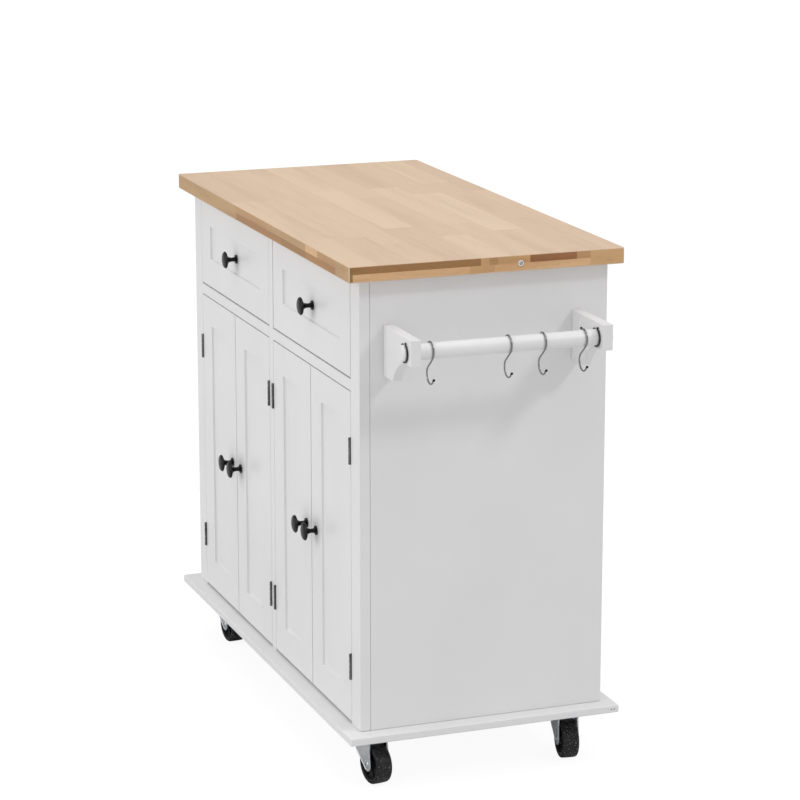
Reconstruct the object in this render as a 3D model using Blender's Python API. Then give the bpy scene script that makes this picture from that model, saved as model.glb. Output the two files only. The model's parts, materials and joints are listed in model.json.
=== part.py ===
"""Kitchen island cart: cabinet with two drawers and four doors on swivel casters.

Metres, +Z up, front towards -Y, towel rail towards +X. Every piece is one closed solid.
"""
import math

import bmesh
import bpy
from mathutils import Matrix, Vector

GAP = 0.0003                      # left between faces that touch

# worktop and base board
TOP_W, TOP_D, TOP_T = 0.900, 0.4494, 0.0255
TOP_Z = 0.8395                    # upper face of the worktop
BASE_W, BASE_D, BASE_T = 0.914, 0.453, 0.012
BASE_Z = 0.0984                   # upper face of the base board

# cabinet body between base board and worktop
BODY_W = 0.860
FRONT_Y, BACK_Y = -0.2015, 0.2060
FRAME_T = 0.017                   # face frame thickness
PANEL_T = 0.015                   # side panels, partition and shelves
BACK_T = 0.005
BODY_Z0 = BASE_Z + GAP
BODY_Z1 = TOP_Z - TOP_T - GAP
FRAME_BACK_Y = FRONT_Y + FRAME_T
INNER_X = BODY_W / 2 - PANEL_T    # inner face of a side panel
STILE_X = 0.390                   # inner edge of a corner stile
MID_STILE = 0.010                 # half width of the centre stile
RAIL_Z0, RAIL_Z1 = 0.635, 0.653   # rail between doors and drawers
SHELF_Z = 0.3575
SHELF_FRONT_Y = -0.170

# doors and drawer fronts are set into the face frame
FRONT_T = 0.016
EDGE_GAP = 0.0015                 # between a door and the frame
DOOR_TOP_GAP = 0.0020
DRAWER_BOTTOM_GAP = 0.0026
DRAWER_SIDE_GAPS = {"left": (0.0015, 0.0010), "right": (0.0032, 0.0022)}   # at its left and right ends
PAIR_X = 0.200                    # centre of a pair of doors and of a drawer
PAIR_GAP = 0.003
DOOR_Z0 = 0.102
BORDER = 0.048                    # flat border around the recessed field
RECESS = 0.0045
RECESS_SLOPE = 0.0015
DRAWER_TOP_Z = 0.811

# drawer boxes and their runners
BOX_WALL = 0.012
BOX_BOTTOM = 0.008
BOX_X0, BOX_X1 = 0.0145, 0.3855
BOX_Z0, BOX_Z1 = 0.664, 0.780
BOX_BACK_Y = 0.175
LEDGE_T = 0.008
LEDGE_REACH = 0.014
RUNNER_H = 0.050
RUNNER_PLAY = 0.0015
RUNNER_Y0, RUNNER_Y1 = -0.180, 0.174

# knobs
KNOB_LENGTH = 0.0242
KNOB_X = 0.0235                   # either side of the middle of a pair
DOOR_KNOB_Z = 0.368
DRAWER_KNOB_Z = 0.730

# butt hinges: pin in front of the gap between stile and door
PIN_FORWARD = 0.0021
BARREL_R = 0.0017
HINGE_H = 0.043
LEAF_T = 0.0009
LEAF_DEPTH = 0.0150
HINGE_Z = {"upper": 0.540, "lower": 0.1925}

# magnetic catches behind the rail
CATCH_W, CATCH_D, CATCH_Z0, CATCH_Z1 = 0.046, 0.022, 0.612, 0.648

# casters
CASTER_X, CASTER_FRONT_Y, CASTER_REAR_Y = 0.3745, -0.169, 0.165
CASTER_TURN = {"front_left": 5.0, "front_right": 8.5, "rear_left": -6.0, "rear_right": -8.0}
TRAIL = 0.026
WHEEL_R, WHEEL_W = 0.0315, 0.0265
AXLE_R = 0.003
PLATE_W, PLATE_T = 0.060, 0.0025
RACE_R, RACE_T = 0.021, 0.004
FORK_INNER = WHEEL_W / 2 + 0.0015
FORK_T = 0.002
CROWN_T = 0.0028
FORK_REAR_X, FORK_FRONT_X = 0.021, 0.0355        # the crown, behind and ahead of the swivel axis
LEG_REAR_X, LEG_FRONT_X = 0.0095, 0.0335
FORK_KNEE_Z, LEG_TOP_Z, CROWN_LOW_Z = 0.048, 0.0665, 0.0710
BOSS_R, BOSS_SHIFT = 0.0095, 0.002

# towel rail on the right side panel
ROD_X, ROD_Z, ROD_R = 0.5235, 0.7195, 0.0125
ROD_END_Y = 0.170
BRACKET_T = 0.016
BRACKET_OUT_Y = 0.163             # outer face of a bracket
BRACKET_X1 = 0.548
BRACKET_TOP_Z, BRACKET_ARM_Z, BRACKET_FOOT_Z = 0.743, 0.7028, 0.664
BRACKET_FOOT = 0.039
COVE_X = 0.530                    # where the cove meets the underside of the arm
RING_WIRE_R = 0.0013
RING_START = 64.0                 # degrees from +X towards +Z
RING_OPEN = 50.0                  # degrees left open in a retaining ring

# S-hooks
HOOK_Y = (-0.123, 0.002, 0.058, 0.125)
WIRE_R = 0.0013
HOOK_LOOP_R = 0.014               # lower loop, to the middle of the wire
HOOK_DROP = 0.0365                # from the rod's axis to the lower loop's centre
HOOK_TIP = 25.0                   # degrees short of a half turn at the lower tip
HOOK_UPPER_TIP = {1: 25.0, 2: 25.0, 3: 25.0, 4: 65.0}   # the same for the upper tip of each hook
TIP_R = 0.0023

# small cap in the right edge of the worktop
PLUG_Y, PLUG_Z, PLUG_R, PLUG_T = 0.052, 0.8265, 0.0045, 0.0012

# the whole cart is moved along X so that its box is centred on the origin
CART_X = -(BRACKET_X1 - BASE_W / 2) / 2


def clear_scene():
    for obj in list(bpy.data.objects):
        bpy.data.objects.remove(obj, do_unlink=True)


def finish_material(name, colour, roughness, metallic=0.0):
    mat = bpy.data.materials.new(name)
    mat.use_nodes = True
    shader = mat.node_tree.nodes["Principled BSDF"]
    shader.inputs["Base Color"].default_value = (*colour, 1.0)
    shader.inputs["Roughness"].default_value = roughness
    shader.inputs["Metallic"].default_value = metallic
    return mat


def to_mesh(bm, name, smooth=False):
    bmesh.ops.recalc_face_normals(bm, faces=bm.faces)
    mesh = bpy.data.meshes.new(name)
    bm.to_mesh(mesh)
    bm.free()
    if smooth:
        mesh.shade_smooth()
        mesh.set_sharp_from_angle(angle=math.radians(35))
    return mesh


def block(lo, hi, chamfer=0.0):
    """A box between two corners, with its edges broken when a chamfer is given."""
    bm = bmesh.new()
    size = [b - a for a, b in zip(lo, hi)]
    middle = [(a + b) / 2 for a, b in zip(lo, hi)]
    bmesh.ops.create_cube(bm, size=1.0)
    bmesh.ops.scale(bm, vec=size, verts=bm.verts)
    bmesh.ops.translate(bm, vec=middle, verts=bm.verts)
    if chamfer:
        bmesh.ops.bevel(bm, geom=bm.edges[:], offset=chamfer, segments=1, affect='EDGES')
    return bm


def prism(outline, along, start, end):
    """An outline of two coordinates pushed from start to end along the third axis."""
    bm = bmesh.new()
    index = "XYZ".index(along)
    corners = []
    for a, b in outline:
        point = [a, b]
        point.insert(index, start)
        corners.append(bm.verts.new(point))
    face = bm.faces.new(corners)
    pushed = bmesh.ops.extrude_face_region(bm, geom=[face])
    moved = [item for item in pushed["geom"] if isinstance(item, bmesh.types.BMVert)]
    offset = [0.0, 0.0, 0.0]
    offset[index] = end - start
    bmesh.ops.translate(bm, vec=offset, verts=moved)
    return bm


def turned(profile, steps, closed):
    """A profile of (radius, distance) turned about the Y axis; the first corner is lowest."""
    bm = bmesh.new()
    rings = []
    for radius, along in profile:
        if radius < 1e-7:
            rings.append([bm.verts.new((0.0, along, 0.0))])
            continue
        ring = []
        for step in range(steps):
            angle = 2 * math.pi * step / steps - math.pi / 2
            ring.append(bm.verts.new((radius * math.cos(angle), along, radius * math.sin(angle))))
        rings.append(ring)
    pairs = list(zip(rings, rings[1:]))
    if closed:
        pairs.append((rings[-1], rings[0]))
    for first, second in pairs:
        for step in range(steps):
            after = (step + 1) % steps
            corners = [first[step % len(first)], first[after % len(first)],
                       second[after % len(second)], second[step % len(second)]]
            bm.faces.new(list(dict.fromkeys(corners)))
    return bm


def swept(path, radii, sides=6):
    """A round wire along a path in the XZ plane, with a radius at each point."""
    bm = bmesh.new()
    rings = []
    last = len(path) - 1
    for i, (point, radius) in enumerate(zip(path, radii)):
        before, after = path[max(i - 1, 0)], path[min(i + 1, last)]
        along = (after - before).normalized()
        across = Vector((along.z, 0.0, -along.x))
        ring = []
        for side in range(sides):
            angle = 2 * math.pi * side / sides
            offset = across * math.cos(angle) + Vector((0.0, math.sin(angle), 0.0))
            ring.append(bm.verts.new(point + offset * radius))
        rings.append(ring)
    for first, second in zip(rings, rings[1:]):
        for side in range(sides):
            after = (side + 1) % sides
            bm.faces.new((first[side], first[after], second[after], second[side]))
    bm.faces.new(rings[0])
    bm.faces.new(rings[-1])
    return bm


def arc_points(centre, radius, start, end, steps):
    """Points on an arc in the XZ plane, in degrees from +X towards +Z."""
    points = []
    for step in range(steps + 1):
        angle = math.radians(start + (end - start) * step / steps)
        points.append(Vector((centre[0] + radius * math.cos(angle), 0.0,
                              centre[1] + radius * math.sin(angle))))
    return points


def combined(mesh, tool_mesh, operation):
    """The mesh after a Boolean with another mesh."""
    body = bpy.data.objects.new("body_being_cut", mesh)
    tool = bpy.data.objects.new("cutter", tool_mesh)
    tool.hide_render = True
    tool.display_type = 'WIRE'
    for obj in (body, tool):
        bpy.context.collection.objects.link(obj)
    cut = body.modifiers.new("cut", 'BOOLEAN')
    cut.operation = operation
    cut.solver = 'EXACT'
    cut.object = tool
    graph = bpy.context.evaluated_depsgraph_get()
    result = bpy.data.meshes.new_from_object(body.evaluated_get(graph))
    for obj in (body, tool):
        bpy.data.objects.remove(obj, do_unlink=True)
    return result


def place(name, mesh, material, parent, at=(0.0, 0.0, 0.0), modelled_at_place=True):
    """Add a named piece whose origin is at `at`, in the frame of its parent."""
    if modelled_at_place:
        mesh.transform(Matrix.Translation(-Vector(at)))
    if not mesh.materials:
        mesh.materials.append(material)
    obj = bpy.data.objects.new(name, mesh)
    bpy.context.collection.objects.link(obj)
    obj.parent = parent
    obj.location = at
    return obj


def marker(name, parent, at, turn=0.0):
    """An empty that carries pieces."""
    empty = bpy.data.objects.new(name, None)
    bpy.context.collection.objects.link(empty)
    empty.parent = parent
    empty.location = at
    empty.rotation_euler = (0.0, 0.0, math.radians(turn))
    return empty


def span(side, near, far):
    """The X range from near to far of the middle, on the left (-1) or right (1) side."""
    return tuple(sorted((side * near, side * far)))


def make_carcass(cart, wood, paint):
    top = block((-TOP_W / 2, -TOP_D / 2, TOP_Z - TOP_T), (TOP_W / 2, TOP_D / 2, TOP_Z), 0.0015)
    place("worktop", to_mesh(top, "worktop"), wood, cart)
    base = block((-BASE_W / 2, -BASE_D / 2, BASE_Z - BASE_T), (BASE_W / 2, BASE_D / 2, BASE_Z), 0.001)
    place("base_board", to_mesh(base, "base_board"), paint, cart)

    for side, word in ((-1, "left"), (1, "right")):
        x0, x1 = span(side, INNER_X, BODY_W / 2)
        panel = block((x0, FRAME_BACK_Y + GAP, BODY_Z0), (x1, BACK_Y, BODY_Z1))
        place(f"side_panel_{word}", to_mesh(panel, "side_panel"), paint, cart)
        x0, x1 = span(side, PANEL_T / 2 + 0.0008, INNER_X - 0.0008)
        shelf = block((x0, SHELF_FRONT_Y, SHELF_Z), (x1, BACK_Y - 0.0075, SHELF_Z + PANEL_T))
        place(f"shelf_{word}", to_mesh(shelf, "shelf"), paint, cart)

    back_y1 = BACK_Y - 0.001
    back = block((-INNER_X + GAP, back_y1 - BACK_T, BODY_Z0), (INNER_X - GAP, back_y1, BODY_Z1))
    place("back_panel", to_mesh(back, "back_panel"), paint, cart)
    middle = block((-PANEL_T / 2, FRAME_BACK_Y + GAP, BODY_Z0),
                   (PANEL_T / 2, back_y1 - BACK_T - GAP, BODY_Z1))
    place("centre_partition", to_mesh(middle, "centre_partition"), paint, cart)


def make_face_frame(cart, paint):
    """Two corner stiles, a centre stile and the rail between drawers and doors."""
    right_half = [(MID_STILE, BODY_Z0), (MID_STILE, RAIL_Z0), (STILE_X, RAIL_Z0), (STILE_X, BODY_Z0),
                  (BODY_W / 2, BODY_Z0), (BODY_W / 2, BODY_Z1), (STILE_X, BODY_Z1),
                  (STILE_X, RAIL_Z1), (MID_STILE, RAIL_Z1), (MID_STILE, BODY_Z1)]
    left_half = [(-x, z) for x, z in reversed(right_half)]
    frame = prism(right_half + left_half, "Y", FRONT_Y, FRAME_BACK_Y)
    place("face_frame", to_mesh(frame, "face_frame"), paint, cart)


def panelled_front(x0, x1, z0, z1):
    """A slab with a field sunk into its front face inside a flat border."""
    bm = block((x0, FRONT_Y, z0), (x1, FRONT_Y + FRONT_T, z1))
    bm.faces.ensure_lookup_table()
    front = min(bm.faces, key=lambda face: face.calc_center_median().y)
    bmesh.ops.inset_individual(bm, faces=[front], thickness=BORDER, use_even_offset=True)
    bmesh.ops.inset_individual(bm, faces=[front], thickness=RECESS_SLOPE, use_even_offset=True)
    bmesh.ops.translate(bm, vec=(0.0, RECESS, 0.0), verts=front.verts[:])
    return bm


def hollow_from_top(bm, wall, depth):
    """Sink the top face of a box to leave walls and a floor."""
    rim = max(bm.faces, key=lambda face: face.calc_center_median().z)
    bmesh.ops.inset_individual(bm, faces=[rim], thickness=wall, use_even_offset=True)
    pushed = bmesh.ops.extrude_face_region(bm, geom=[rim])
    bm.faces.remove(rim)
    moved = [item for item in pushed["geom"] if isinstance(item, bmesh.types.BMVert)]
    bmesh.ops.translate(bm, vec=(0.0, 0.0, -depth), verts=moved)


def knob_mesh():
    """A mushroom knob whose foot is at the origin and whose head points to -Y."""
    head = KNOB_LENGTH
    profile = [(0.0, 0.0), (0.0073, 0.0), (0.0073, -0.0020), (0.0040, -0.0036),
               (0.0036, -0.0120), (0.0060, -0.0165), (0.0138, -0.0192), (0.0145, -0.0206),
               (0.0135, -0.0225), (0.0080, -head + 0.0002), (0.0, -head)]
    return to_mesh(turned(profile, 16, closed=False), "knob", smooth=True)


def make_drawers(cart, paint, inside, dark):
    knob = knob_mesh()
    for side, word in ((-1, "left"), (1, "right")):
        slide = marker(f"drawer_{word}_slide", cart, (side * PAIR_X, 0.0, 0.0))
        half = (STILE_X - MID_STILE) / 2
        left_gap, right_gap = DRAWER_SIDE_GAPS[word]
        front = panelled_front(-half + left_gap, half - right_gap, RAIL_Z1 + DRAWER_BOTTOM_GAP, DRAWER_TOP_Z)
        place(f"drawer_front_{word}", to_mesh(front, "drawer_front"), paint, slide)

        x0, x1 = (x - side * PAIR_X for x in span(side, BOX_X0, BOX_X1))
        box = block((x0, FRONT_Y + FRONT_T + GAP, BOX_Z0), (x1, BOX_BACK_Y, BOX_Z1))
        hollow_from_top(box, BOX_WALL, BOX_Z1 - BOX_Z0 - BOX_BOTTOM)
        place(f"drawer_box_{word}", to_mesh(box, "drawer_box"), inside, slide)

        at = (0.0, FRONT_Y + RECESS - GAP, DRAWER_KNOB_Z)
        place(f"drawer_knob_{word}", knob, dark, slide, at, modelled_at_place=False)


def make_runners(cart, wood):
    """L-shaped guides that carry each drawer box at both sides."""
    ledge_z1 = BOX_Z0 - GAP
    ledge_z0 = ledge_z1 - LEDGE_T
    for side, word in ((-1, "left"), (1, "right")):
        outer_wall, outer_face = INNER_X - GAP, BOX_X1 + RUNNER_PLAY
        inner_wall, inner_face = PANEL_T / 2 + GAP, BOX_X0 - RUNNER_PLAY
        for place_word, wall, face, reach in (("outer", outer_wall, outer_face, -LEDGE_REACH),
                                              ("inner", inner_wall, inner_face, LEDGE_REACH)):
            outline = [(wall, ledge_z0), (wall, ledge_z0 + RUNNER_H), (face, ledge_z0 + RUNNER_H),
                       (face, ledge_z1), (face + reach, ledge_z1), (face + reach, ledge_z0)]
            runner = prism([(side * x, z) for x, z in outline], "Y", RUNNER_Y0, RUNNER_Y1)
            place(f"drawer_runner_{word}_{place_word}", to_mesh(runner, "runner"), wood, cart)


def hinge_mesh():
    """A barrel on the pin's axis with one leaf running back into the gap, centred in height."""
    half = LEAF_T / 2
    open_angle = math.asin(half / BARREL_R)
    steps = 12
    start, end = math.pi / 2 + open_angle, 2.5 * math.pi - open_angle
    outline = [(half, LEAF_DEPTH), (-half, LEAF_DEPTH)]
    for step in range(steps + 1):
        angle = start + (end - start) * step / steps
        outline.append((BARREL_R * math.cos(angle), BARREL_R * math.sin(angle)))
    return to_mesh(prism(outline, "Z", -HINGE_H / 2, HINGE_H / 2), "hinge")


def make_doors(cart, paint, dark, steel):
    knob = knob_mesh()
    hinge = hinge_mesh()
    pin_y = FRONT_Y - PIN_FORWARD
    outer_pin = STILE_X - EDGE_GAP / 2
    inner_pin = MID_STILE + EDGE_GAP / 2
    meeting = PAIR_GAP / 2
    doors = (("1", -outer_pin, -STILE_X + EDGE_GAP, -PAIR_X - meeting, -PAIR_X - KNOB_X),
             ("2", -inner_pin, -PAIR_X + meeting, -MID_STILE - EDGE_GAP, -PAIR_X + KNOB_X),
             ("3", inner_pin, MID_STILE + EDGE_GAP, PAIR_X - meeting, PAIR_X - KNOB_X),
             ("4", outer_pin, PAIR_X + meeting, STILE_X - EDGE_GAP, PAIR_X + KNOB_X))
    for word, pin_x, x0, x1, knob_x in doors:
        pin = (pin_x, pin_y, 0.0)
        door = panelled_front(x0, x1, DOOR_Z0, RAIL_Z0 - DOOR_TOP_GAP)
        leaf = place(f"door_{word}", to_mesh(door, "door"), paint, cart, pin)
        knob_at = Vector((knob_x, FRONT_Y - GAP, DOOR_KNOB_Z)) - Vector(pin)
        place(f"door_knob_{word}", knob, dark, leaf, knob_at, modelled_at_place=False)
        for level, height in HINGE_Z.items():
            at = (pin_x, pin_y, height)
            place(f"hinge_{word}_{level}", hinge, steel, cart, at, modelled_at_place=False)


def make_catches(cart, plastic):
    for side, word in ((-1, "left"), (1, "right")):
        middle = side * PAIR_X
        y0 = FRAME_BACK_Y + GAP
        catch = block((middle - CATCH_W / 2, y0, CATCH_Z0), (middle + CATCH_W / 2, y0 + CATCH_D, CATCH_Z1))
        place(f"magnetic_catch_{word}", to_mesh(catch, "catch"), plastic, cart)


def plate_mesh():
    """The mounting plate with the round race below it; the swivel axis is Z."""
    z1 = BASE_Z - BASE_T - GAP
    z0 = z1 - PLATE_T
    half = PLATE_W / 2
    plate = to_mesh(block((-half, -half, z0), (half, half, z1)), "plate")
    race = turned([(0.0, 0.0), (RACE_R, 0.0), (RACE_R, -RACE_T - 0.001), (0.0, -RACE_T - 0.001)], 20, False)
    race_mesh = to_mesh(race, "race")
    upright = Matrix.Rotation(math.radians(90), 4, 'X')
    race_mesh.transform(Matrix.Translation((0.0, 0.0, z0 + 0.001)) @ upright)
    return combined(plate, race_mesh, 'UNION'), z0 - RACE_T - GAP


def fork_mesh(crown_z):
    """A stamped yoke: a channel over the wheel, cut to the leg's outline, with its axle."""
    outer = FORK_INNER + FORK_T
    inner = FORK_INNER
    crown_under = crown_z - CROWN_T
    foot = WHEEL_R - BOSS_R - 0.001
    channel = [(-outer, foot), (-inner, foot), (-inner, crown_under), (inner, crown_under),
               (inner, foot), (outer, foot), (outer, crown_z), (-outer, crown_z)]
    folded = to_mesh(prism(channel, "X", -0.05, 0.08), "channel")
    boss = arc_points((TRAIL + BOSS_SHIFT, WHEEL_R), BOSS_R, -125, 5, 6)
    leg = [(-FORK_REAR_X, crown_z + 0.01), (-FORK_REAR_X, CROWN_LOW_Z),
           (-LEG_REAR_X, LEG_TOP_Z), (-LEG_REAR_X, FORK_KNEE_Z)]
    leg += [(point.x, point.z) for point in boss]
    leg += [(LEG_FRONT_X, LEG_TOP_Z), (FORK_FRONT_X, CROWN_LOW_Z), (FORK_FRONT_X, crown_z + 0.01)]
    side = to_mesh(prism(leg, "Y", -0.05, 0.05), "leg_outline")
    yoke = combined(folded, side, 'INTERSECT')
    axle = turned([(0.0, -outer - 0.0015), (AXLE_R, -outer - 0.0015), (AXLE_R, outer + 0.0015),
                   (0.0, outer + 0.0015)], 12, closed=False)
    axle_mesh = to_mesh(axle, "axle")
    axle_mesh.transform(Matrix.Translation((TRAIL, 0.0, WHEEL_R)))
    return combined(yoke, axle_mesh, 'UNION')


def wheel_mesh():
    half = WHEEL_W / 2
    bore = AXLE_R + GAP
    side = [(bore, half - 0.0015), (0.0090, half - 0.0015), (0.0110, half - 0.0045),
            (0.0235, half - 0.0045), (0.0250, half), (0.0290, half), (WHEEL_R, half - 0.0030)]
    profile = side + [(radius, -along) for radius, along in reversed(side)]
    return to_mesh(turned(profile, 24, closed=True), "wheel", smooth=True)


def make_casters(cart, zinc, steel, rubber):
    plate, crown_z = plate_mesh()
    fork = fork_mesh(crown_z)
    wheel = wheel_mesh()
    for word, turn in CASTER_TURN.items():
        side_x = 1 if word.endswith("right") else -1
        at = (side_x * CASTER_X, CASTER_FRONT_Y if word.startswith("front") else CASTER_REAR_Y, 0.0)
        place(f"caster_plate_{word}", plate, zinc, cart, at, modelled_at_place=False)
        swivel = marker(f"caster_{word}_swivel", cart, at, turn)
        place(f"caster_fork_{word}", fork, steel, swivel, modelled_at_place=False)
        axle_at = (TRAIL, 0.0, WHEEL_R)
        place(f"caster_wheel_{word}", wheel, rubber, swivel, axle_at, modelled_at_place=False)


def bracket_outline():
    """A block against the panel with an arm; the cove is one arc, level where it meets the arm."""
    x0 = BODY_W / 2 + GAP
    foot_end = BODY_W / 2 + BRACKET_FOOT
    run, rise = COVE_X - foot_end, BRACKET_ARM_Z - BRACKET_FOOT_Z
    radius = (run * run + rise * rise) / (2 * rise)
    start = math.degrees(math.acos(-run / radius))
    cove = arc_points((COVE_X, BRACKET_ARM_Z - radius), radius, start, 90, 7)
    outline = [(x0, BRACKET_TOP_Z), (x0, BRACKET_FOOT_Z)]
    outline += [(point.x, point.z) for point in cove]
    return outline + [(BRACKET_X1, BRACKET_ARM_Z), (BRACKET_X1, BRACKET_TOP_Z)]


def make_rail(cart, paint, dark):
    hole = turned([(0.0, -0.3), (ROD_R + GAP, -0.3), (ROD_R + GAP, 0.3), (0.0, 0.3)], 24, False)
    hole_mesh = to_mesh(hole, "rod_hole")
    hole_mesh.transform(Matrix.Translation((ROD_X, 0.0, ROD_Z)))
    ring_r = ROD_R + GAP + RING_WIRE_R
    ring_path = arc_points((0.0, 0.0), ring_r, RING_START, RING_START - 360 + RING_OPEN, 18)
    radii = [RING_WIRE_R] * len(ring_path)
    ring = to_mesh(swept(ring_path, radii), "ring", smooth=True)
    for word, y0, y1 in (("front", -BRACKET_OUT_Y, -BRACKET_OUT_Y + BRACKET_T),
                         ("rear", BRACKET_OUT_Y - BRACKET_T, BRACKET_OUT_Y)):
        bracket = to_mesh(prism(bracket_outline(), "Y", y0, y1), "bracket")
        bored = combined(bracket, hole_mesh.copy(), 'DIFFERENCE')
        place(f"rail_bracket_{word}", bored, paint, cart)
        at = (ROD_X, y0 - GAP - RING_WIRE_R, ROD_Z)
        place(f"retaining_ring_{word}", ring, dark, cart, at, modelled_at_place=False)
    chamfer = 0.0025
    rod = turned([(0.0, -ROD_END_Y), (ROD_R - chamfer, -ROD_END_Y), (ROD_R, -ROD_END_Y + chamfer),
                  (ROD_R, ROD_END_Y - chamfer), (ROD_R - chamfer, ROD_END_Y), (0.0, ROD_END_Y)],
                 24, closed=False)
    at = (ROD_X, 0.0, ROD_Z)
    place("towel_rod", to_mesh(rod, "towel_rod", smooth=True), paint, cart, at, modelled_at_place=False)


def flared_way(tip, before, centre):
    """Onward from the tip of an arc, turned half way out from its centre."""
    onward = (tip - before).normalized()
    outward = (tip - centre).normalized()
    return (onward + outward).normalized()


def hook_mesh(upper_tip):
    """An S of two arcs and the straight line that touches both, with a ball at each tip."""
    upper_r = ROD_R + GAP + WIRE_R
    reach = upper_r + HOOK_LOOP_R
    straight = math.sqrt(HOOK_DROP ** 2 - reach ** 2)
    lean = math.degrees(math.atan2(reach, straight))
    upper = arc_points((0.0, 0.0), upper_r, 180 - upper_tip, -lean, 15)
    lower = arc_points((0.0, -HOOK_DROP), HOOK_LOOP_R, 180 - lean, 360 - HOOK_TIP, 15)
    path = upper + lower
    radii = [WIRE_R] * len(path)
    start_way = flared_way(upper[0], upper[1], Vector((0.0, 0.0, 0.0)))
    end_way = flared_way(lower[-1], lower[-2], Vector((0.0, 0.0, -HOOK_DROP)))
    ball = [(0.0010, WIRE_R), (0.0017, TIP_R), (0.0034, TIP_R), (0.0044, WIRE_R * 0.6)]
    for distance, radius in ball:
        path = [upper[0] + start_way * distance] + path + [lower[-1] + end_way * distance]
        radii = [radius] + radii + [radius]
    return to_mesh(swept(path, radii), "s_hook", smooth=True)


def make_hooks(cart, steel):
    for number, y in enumerate(HOOK_Y, start=1):
        hook = hook_mesh(HOOK_UPPER_TIP[number])
        at = (ROD_X, y, ROD_Z)
        place(f"s_hook_{number}", hook, steel, cart, at, modelled_at_place=False)


def make_plug(cart, plastic):
    plug = turned([(0.0, 0.0), (PLUG_R, 0.0), (PLUG_R - 0.0004, PLUG_T), (0.0, PLUG_T)], 16, False)
    mesh = to_mesh(plug, "worktop_edge_plug", smooth=True)
    mesh.transform(Matrix.Rotation(math.radians(-90), 4, 'Z'))
    at = (TOP_W / 2 + GAP, PLUG_Y, PLUG_Z)
    place("worktop_edge_plug", mesh, plastic, cart, at, modelled_at_place=False)


def main():
    clear_scene()
    cart = marker("cart", None, (CART_X, 0.0, 0.0))
    wood = finish_material("rubberwood_oiled", (0.72, 0.50, 0.30), 0.45)
    paint = finish_material("white_satin_paint", (0.83, 0.83, 0.83), 0.42)
    inside = finish_material("white_laminate", (0.78, 0.78, 0.77), 0.50)
    runner_wood = finish_material("runner_hardwood", (0.62, 0.47, 0.31), 0.60)
    black = finish_material("black_powder_coat", (0.02, 0.02, 0.022), 0.38, 0.3)
    hinge_steel = finish_material("dark_hinge_steel", (0.09, 0.09, 0.095), 0.40, 0.8)
    zinc = finish_material("zinc_plate", (0.62, 0.63, 0.65), 0.30, 1.0)
    fork_steel = finish_material("zinc_fork", (0.66, 0.67, 0.69), 0.28, 1.0)
    rubber = finish_material("black_wheel", (0.018, 0.018, 0.02), 0.45)
    hook_steel = finish_material("hook_wire", (0.18, 0.18, 0.19), 0.30, 0.9)
    ring_black = finish_material("ring_wire", (0.03, 0.03, 0.03), 0.40, 0.5)
    catch_plastic = finish_material("catch_plastic", (0.80, 0.80, 0.80), 0.45)
    plug_plastic = finish_material("plug_plastic", (0.85, 0.84, 0.82), 0.40)

    make_carcass(cart, wood, paint)
    make_face_frame(cart, paint)
    make_drawers(cart, paint, inside, black)
    make_runners(cart, runner_wood)
    make_doors(cart, paint, black, hinge_steel)
    make_catches(cart, catch_plastic)
    make_casters(cart, zinc, fork_steel, rubber)
    make_rail(cart, paint, ring_black)
    make_hooks(cart, hook_steel)
    make_plug(cart, plug_plastic)


main()
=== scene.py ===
"""Looks of the kitchen island cart: painted boards, oiled worktop, steel fittings and wheels."""

import json
import math

import bmesh
import bpy
from mathutils import Matrix, Vector


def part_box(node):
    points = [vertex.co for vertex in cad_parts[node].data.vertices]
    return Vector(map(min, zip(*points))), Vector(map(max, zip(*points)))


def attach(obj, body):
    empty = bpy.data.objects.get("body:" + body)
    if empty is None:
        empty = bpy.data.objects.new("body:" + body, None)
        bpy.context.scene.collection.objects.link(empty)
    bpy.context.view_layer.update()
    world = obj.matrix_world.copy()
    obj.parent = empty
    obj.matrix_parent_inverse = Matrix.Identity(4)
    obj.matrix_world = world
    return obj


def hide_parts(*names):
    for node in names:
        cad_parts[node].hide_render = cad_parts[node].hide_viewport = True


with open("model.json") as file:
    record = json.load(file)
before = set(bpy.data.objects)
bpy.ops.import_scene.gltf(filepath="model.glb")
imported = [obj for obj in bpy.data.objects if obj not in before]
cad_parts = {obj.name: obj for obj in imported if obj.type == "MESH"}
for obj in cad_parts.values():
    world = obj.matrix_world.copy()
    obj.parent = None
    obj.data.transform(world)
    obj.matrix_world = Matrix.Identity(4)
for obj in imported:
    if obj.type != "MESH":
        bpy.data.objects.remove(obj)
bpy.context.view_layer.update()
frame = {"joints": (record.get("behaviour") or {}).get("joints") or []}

MM = 0.001
JOINTS = {joint["name"]: joint for joint in frame["joints"]}
SIDES = ((-1, "left"), (1, "right"))
CORNERS = ("front_left", "front_right", "rear_left", "rear_right")

CLEAR = 0.3 * MM                  # between parts that turn on or sit round each other

# boards
BOARD_EDGE = 0.8 * MM             # rounding of painted boards
TOP_EDGE = 1.6 * MM               # rounding of the worktop
FRONT_GAP = 1.5 * MM              # between a door and a stile
DOOR_TOP_GAP = 2.0 * MM
DRAWER_BOTTOM_GAP = 2.6 * MM
JOINT_HALF_WIDTH = 0.7 * MM       # of the dark line between staves
BORDER = 48 * MM                  # flat border of a door or drawer front
FIELD_DEPTH = 4.5 * MM
GLINT_LEVEL = 0.625               # the noise above which a painted glint shows
GLINT_SHARPNESS = 16.0

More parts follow.
